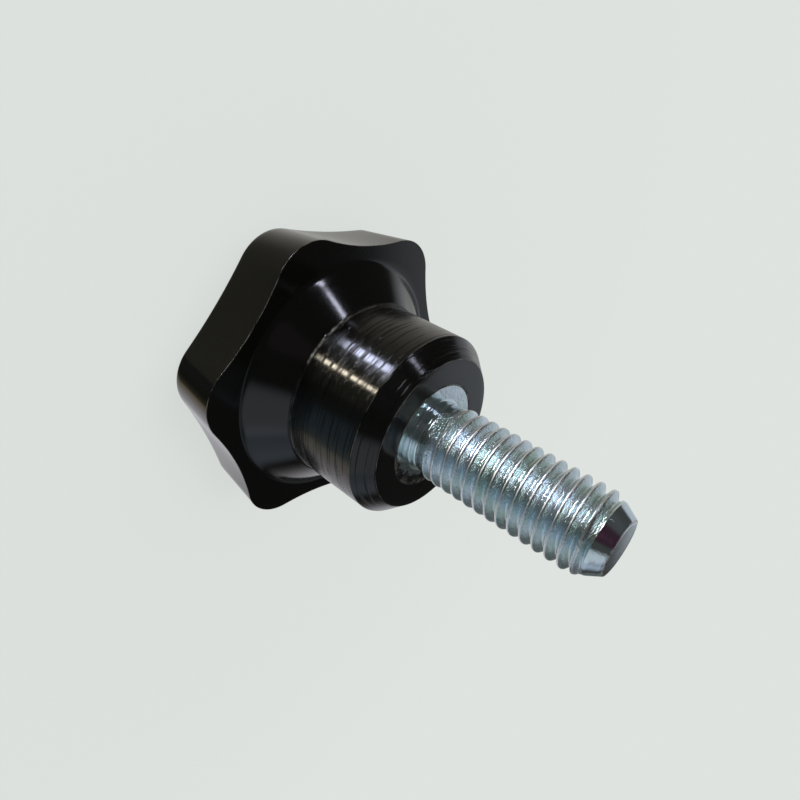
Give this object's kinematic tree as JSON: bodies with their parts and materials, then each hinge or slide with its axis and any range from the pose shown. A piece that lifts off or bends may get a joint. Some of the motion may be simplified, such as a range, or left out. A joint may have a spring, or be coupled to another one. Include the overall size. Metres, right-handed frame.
{
  "type": "star knob with threaded stud",
  "caption": "Lobed clamping hand knob in black moulded plastic on a chamfered hub, with a right-hand threaded steel stud moulded in along its axis.",
  "frame": {"origin": "centre of the hub's seat face, on the stud's axis, where the stud leaves the knob", "axes": "+Z along the stud towards its tip, away from the lobed head; the head's flat grip face looks along -Z and is what the part stands on"},
  "size_m": [0.0404, 0.04, 0.0489],
  "materials": {
    "moulded_plastic": "black thermoset moulding, satin, with turning marks on the hub",
    "zinc_plated_steel": "bright blue-white zinc plate, lightly marked on the thread crests"
  },
  "bodies": {
    "root": {"knob_body": "moulded_plastic", "threaded_stud": "zinc_plated_steel"}
  },
  "joints": []
}
